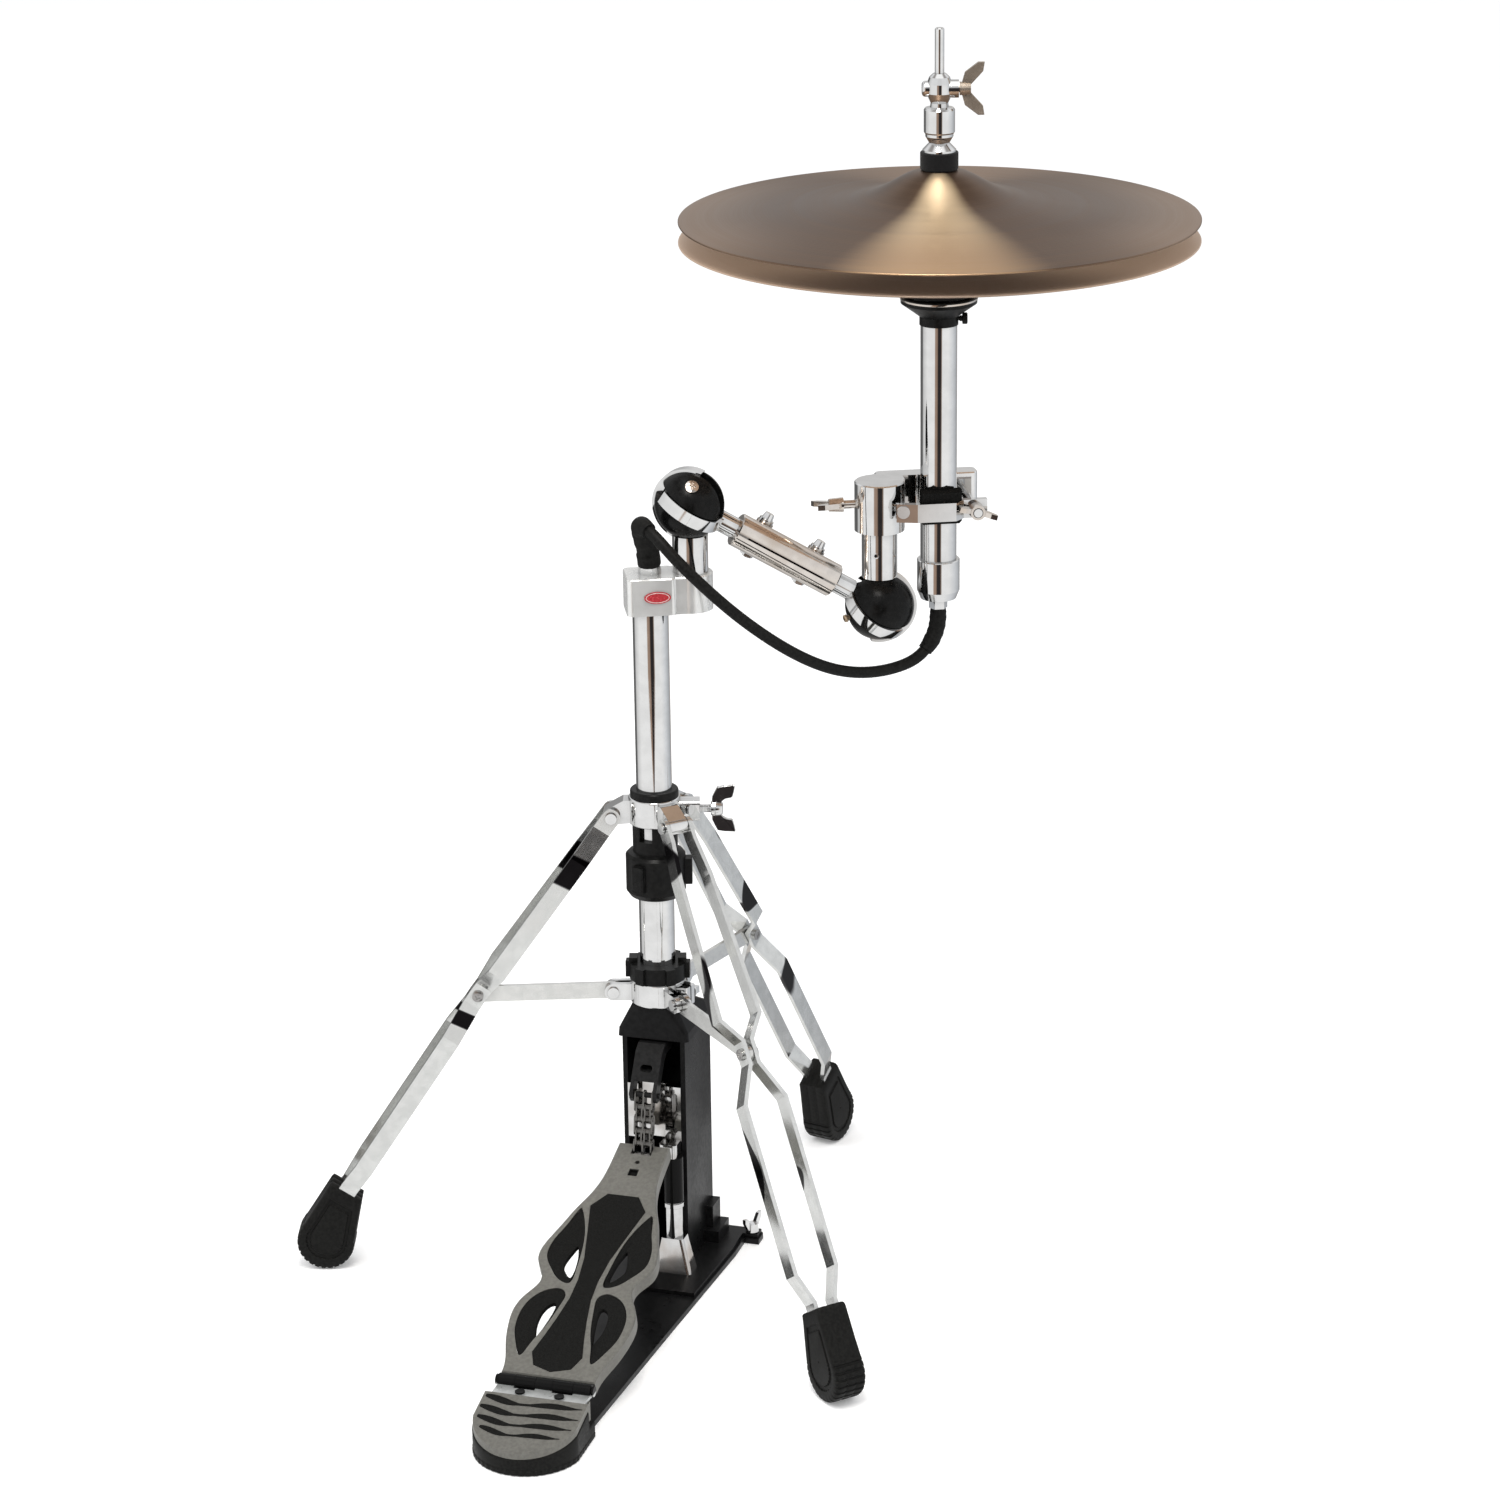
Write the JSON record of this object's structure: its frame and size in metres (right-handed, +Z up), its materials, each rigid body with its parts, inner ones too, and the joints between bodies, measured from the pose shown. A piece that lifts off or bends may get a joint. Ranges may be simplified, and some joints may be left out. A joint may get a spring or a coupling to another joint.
{
  "type": "hi hat",
  "caption": "Cable-operated hi hat: folding tripod, pedal and drive frame, offset ball-jointed arm, multi clamp, upper tube with two cymbals and clutch.",
  "frame": {"origin": "on the floor, on the axis of the main tube", "axes": "+Z up along the main tube, -Y towards the heel of the pedal, +X to the player's right"},
  "size_m": [0.6236, 0.5972, 0.897],
  "materials": {
    "chrome": "polished chrome plate",
    "black_steel": "satin black paint",
    "steel": "zinc plated steel",
    "cast_grey": "satin cast grey",
    "rubber_black": "matt",
    "grip_black": "fine grained",
    "plastic_black": "moulded nylon",
    "badge_red": "domed",
    "felt_black": "pressed felt",
    "cymbal_bronze": "lathed bronze"
  },
  "bodies": {
    "base": {"base_plate": "black_steel", "heel_plate": "cast_grey", "heel_rubber": "rubber_black", "heel_hinge": "chrome", "drive_frame": "black_steel", "frame_hood": "black_steel", "frame_castings": "chrome", "main_tube": "chrome", "memory_lock": "plastic_black", "head_block": "chrome", "head_badge": "badge_red", "head_fasteners": "chrome", "post_1": "chrome", "cable_boot": "rubber_black", "cable_housing": "rubber_black", "return_spring": "steel"},
    "pedal": {"footboard": "cast_grey", "footboard_inlay": "grip_black", "footboard_hardware": "chrome"},
    "drive": {"lower_rod": "steel", "pull_link": "black_steel"},
    "chain": {"chain": "steel"},
    "tension_ring": {"tension_ring": "plastic_black"},
    "base_screw": {"base_thumb_screw": "chrome"},
    "tripod": {"lower_collar": "chrome"},
    "leg_slider": {"upper_collar": "chrome", "collar_bushing": "plastic_black"},
    "leg_wing": {"leg_wing_screw": "chrome"},
    "leg_left": {"leg_left": "chrome", "foot_left": "rubber_black"},
    "leg_right": {"leg_right": "chrome", "foot_right": "rubber_black"},
    "leg_rear": {"leg_rear": "chrome", "foot_rear": "rubber_black"},
    "stay_left": {"stay_left": "chrome"},
    "stay_right": {"stay_right": "chrome"},
    "stay_rear": {"stay_rear": "chrome"},
    "ball_1": {"ball_1": "plastic_black"},
    "arm": {"arm_rings": "chrome", "arm_sleeve": "chrome", "arm_key_bolts": "chrome"},
    "ball_2": {"ball_2": "plastic_black"},
    "post_2": {"post_2": "chrome"},
    "clamp": {"clamp_body": "chrome", "clamp_pad": "rubber_black", "clamp_jaw": "chrome"},
    "clamp_bolt": {"clamp_wing_bolt": "chrome"},
    "clamp_nut": {"clamp_wing_nut": "chrome"},
    "stem": {"upper_tube": "chrome", "ferrule": "chrome", "cymbal_seat": "plastic_black", "cable_end_boot": "rubber_black"},
    "tilt_screw_body": {"tilt_screw": "plastic_black"},
    "seat": {"seat_felt": "felt_black", "bottom_cymbal": "cymbal_bronze"},
    "rod": {"pull_rod": "chrome", "clutch_body": "chrome", "clutch_felts": "felt_black", "top_cymbal": "cymbal_bronze"},
    "clutch_wing": {"clutch_wing_screw": "chrome"}
  },
  "joints": [
    {"name": "pedal_hinge", "type": "hinge", "parent": "base", "child": "pedal", "pos_m": [0, -0.261, 0.03], "axis": [-1, 0, 0], "range_deg": [0, 3.47], "stiffness_Nm_per_rad": 20, "springref_deg": -17.19},
    {"name": "drive_slide", "type": "slide", "parent": "base", "child": "drive", "axis": [0, 0, -1], "range_m": [0, 0.01303], "deforming": ["return_spring"]},
    {"name": "chain_swing", "type": "hinge", "parent": "drive", "child": "chain", "pos_m": [0, -0.036, 0.1475], "axis": [1, 0, 0], "range_deg": [0, 5.11]},
    {"name": "tension_ring_turn", "type": "hinge", "parent": "base", "child": "tension_ring", "pos_m": [0, 0, 0.231], "axis": [0, 0, 1], "range_deg": [0, 330]},
    {"name": "base_screw_turn", "type": "hinge", "parent": "base", "child": "base_screw", "pos_m": [0.053, 0.049, 0.008], "axis": [0, 0, 1], "range_deg": [-360, 0]},
    {"name": "tripod_swivel", "type": "hinge", "parent": "base", "child": "tripod", "pos_m": [0, 0, 0.216], "axis": [0, 0, 1], "range_deg": [-20, 30]},
    {"name": "leg_fold", "type": "slide", "parent": "tripod", "child": "leg_slider", "axis": [0, 0, 1], "range_m": [0, 0.125]},
    {"name": "leg_left_hinge", "type": "hinge", "parent": "leg_slider", "child": "leg_left", "pos_m": [-0.02937, -0.00859, 0.3492], "axis": [0.2807, -0.9598, 0], "range_deg": [0, 25.89]},
    {"name": "stay_left_hinge", "type": "hinge", "parent": "tripod", "child": "stay_left", "pos_m": [-0.03081, -0.00901, 0.2148], "axis": [-0.2807, 0.9598, 0], "range_deg": [0, 74.72]},
    {"name": "leg_right_hinge", "type": "hinge", "parent": "leg_slider", "child": "leg_right", "pos_m": [0.02212, -0.02114, 0.3492], "axis": [0.6909, 0.723, 0], "range_deg": [0, 25.89]},
    {"name": "stay_right_hinge", "type": "hinge", "parent": "tripod", "child": "stay_right", "pos_m": [0.02321, -0.02218, 0.2148], "axis": [-0.6909, -0.723, 0], "range_deg": [0, 74.72]},
    {"name": "leg_rear_hinge", "type": "hinge", "parent": "leg_slider", "child": "leg_rear", "pos_m": [0.00725, 0.02973, 0.3492], "axis": [-0.9715, 0.2368, 0], "range_deg": [0, 25.89]},
    {"name": "stay_rear_hinge", "type": "hinge", "parent": "tripod", "child": "stay_rear", "pos_m": [0.0076, 0.03119, 0.2148], "axis": [0.9715, -0.2368, 0], "range_deg": [0, 74.72]},
    {"name": "leg_wing_turn", "type": "hinge", "parent": "leg_slider", "child": "leg_wing", "pos_m": [0.03839, 0.01123, 0.3525], "axis": [0.9598, 0.2807, 0], "range_deg": [-180, 0]},
    {"name": "ball1_tilt", "type": "hinge", "parent": "base", "child": "ball_1", "pos_m": [0.02611, 0.01168, 0.5746], "axis": [-0.0157, -0.9999, 0], "range_deg": [-8, 20], "deforming": ["cable_housing"]},
    {"name": "ball1_swing", "type": "hinge", "parent": "ball_1", "child": "arm", "pos_m": [0.02611, 0.01168, 0.5746], "axis": [0.5455, 0.0162, 0.838], "range_deg": [-12, 12]},
    {"name": "ball2_swing", "type": "hinge", "parent": "arm", "child": "ball_2", "pos_m": [0.14724, 0.06586, 0.4947], "axis": [0.6119, -0.274, 0.7419], "range_deg": [-9, 15]},
    {"name": "ball2_tilt", "type": "hinge", "parent": "ball_2", "child": "post_2", "pos_m": [0.14724, 0.06586, 0.4947], "axis": [-0.4083, 0.9128, 0], "range_deg": [-9, 18]},
    {"name": "clamp_swivel", "type": "hinge", "parent": "post_2", "child": "clamp", "pos_m": [0.14724, 0.06586, 0.565], "axis": [0, 0, 1], "range_deg": [-20, 25]},
    {"name": "stem_slide", "type": "slide", "parent": "clamp", "child": "stem", "axis": [0, 0, 1], "range_m": [-0.06, 0.018]},
    {"name": "clamp_bolt_turn", "type": "hinge", "parent": "clamp", "child": "clamp_bolt", "pos_m": [0.11867, 0.05308, 0.569], "axis": [-0.9128, -0.4083, 0], "range_deg": [-180, 0]},
    {"name": "clamp_nut_turn", "type": "hinge", "parent": "clamp", "child": "clamp_nut", "pos_m": [0.21528, 0.0722, 0.566], "axis": [0.4083, -0.9128, 0], "range_deg": [-180, 0]},
    {"name": "tilt_screw_turn", "type": "hinge", "parent": "stem", "child": "tilt_screw_body", "pos_m": [0.20057, 0.08734, 0.698], "axis": [0.9598, 0.2807, 0], "range_deg": [-721, 0]},
    {"name": "seat_tilt", "type": "hinge", "parent": "stem", "child": "seat", "pos_m": [0.16179, 0.076, 0.7152], "axis": [-0.2807, 0.9598, 0], "range_deg": [-3, 0]},
    {"name": "rod_slide", "type": "slide", "parent": "stem", "child": "rod", "axis": [0, 0, -1], "range_m": [0, 0.01303]},
    {"name": "clutch_wing_turn", "type": "hinge", "parent": "rod", "child": "clutch_wing", "pos_m": [0.20059, 0.08726, 0.856], "axis": [0.9613, 0.2756, 0], "range_deg": [-180, 0]}
  ],
  "couplings": [
    {"joint": "drive_slide", "follows": "pedal_hinge", "m_per_rad": 0.21458},
    {"joint": "rod_slide", "follows": "pedal_hinge", "m_per_rad": 0.21458},
    {"joint": "chain_swing", "follows": "pedal_hinge", "ratio": 1.4696},
    {"joint": "tilt_screw_turn", "follows": "seat_tilt", "ratio": 240},
    {"joint": "leg_left_hinge", "follows": "leg_fold", "rad_per_m": 3.6109},
    {"joint": "stay_left_hinge", "follows": "leg_fold", "rad_per_m": 10.422},
    {"joint": "leg_right_hinge", "follows": "leg_fold", "rad_per_m": 3.6109},
    {"joint": "stay_right_hinge", "follows": "leg_fold", "rad_per_m": 10.422},
    {"joint": "leg_rear_hinge", "follows": "leg_fold", "rad_per_m": 3.6109},
    {"joint": "stay_rear_hinge", "follows": "leg_fold", "rad_per_m": 10.422}
  ]
}
